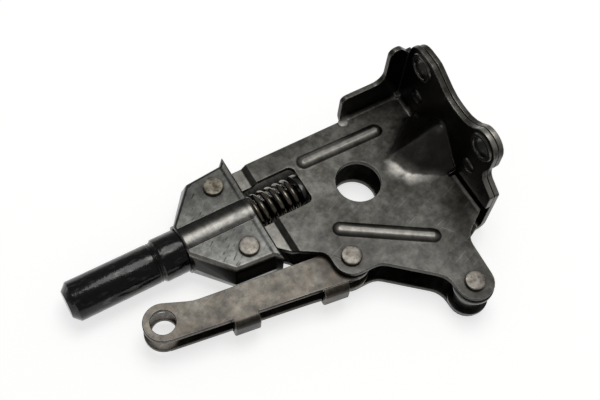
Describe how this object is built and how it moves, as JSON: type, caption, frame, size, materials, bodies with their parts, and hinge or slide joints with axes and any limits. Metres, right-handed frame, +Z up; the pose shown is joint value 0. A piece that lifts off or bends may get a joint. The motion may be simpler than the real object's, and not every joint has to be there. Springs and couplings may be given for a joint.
{
  "type": "timing chain tensioner",
  "caption": "Pressed-steel chain tensioner with a sprung sliding plunger rod, a pivoting eye arm between riveted plates and an upright two-hole mounting flange.",
  "frame": {"origin": "where the plunger axis meets the outer face of the mounting flange", "axes": "+X along the plunger, out of the flange's face; +Y across the plates; +Z up, square to the plates"},
  "size_m": [0.1617, 0.1007, 0.055],
  "materials": {
    "plate": "oiled black-oxide pressed sheet",
    "rod": "black-oxide turned bar, oiled",
    "dark": "oiled black oxide",
    "rivet": "worn bare steel",
    "arm": "worn pressed sheet",
    "spring": "oiled spring steel"
  },
  "bodies": {
    "frame": {"front_plate": "plate", "rear_plate": "plate", "flange_eyelet_upper": "dark", "flange_eyelet_lower": "dark", "flange_rivet_upper": "dark", "flange_rivet_lower": "dark", "anchor_pin": "rivet", "anchor_spacer": "dark", "anchor_washer_front": "dark", "anchor_washer_rear": "dark", "arm_pivot_pin": "rivet", "spring_seat": "spring", "spring": "spring"},
    "plunger": {"plunger_rod": "rod", "front_cover": "plate", "rear_cover": "plate", "cover_rivet_upper": "rivet", "cover_rivet_lower": "rivet"},
    "arm": {"arm": "arm", "arm_pivot_bush": "rivet"}
  },
  "joints": [
    {"name": "plunger_slide", "type": "slide", "parent": "frame", "child": "plunger", "axis": [1, 0, 0], "range_m": [0, 0.0035], "stiffness_N_per_m": 6000, "springref_m": -0.004, "deforming": ["spring"]},
    {"name": "arm_swing", "type": "hinge", "parent": "frame", "child": "arm", "pos_m": [-0.0608, -0.0363, 0], "axis": [0, 0, 1], "range_deg": [0, 45]}
  ]
}
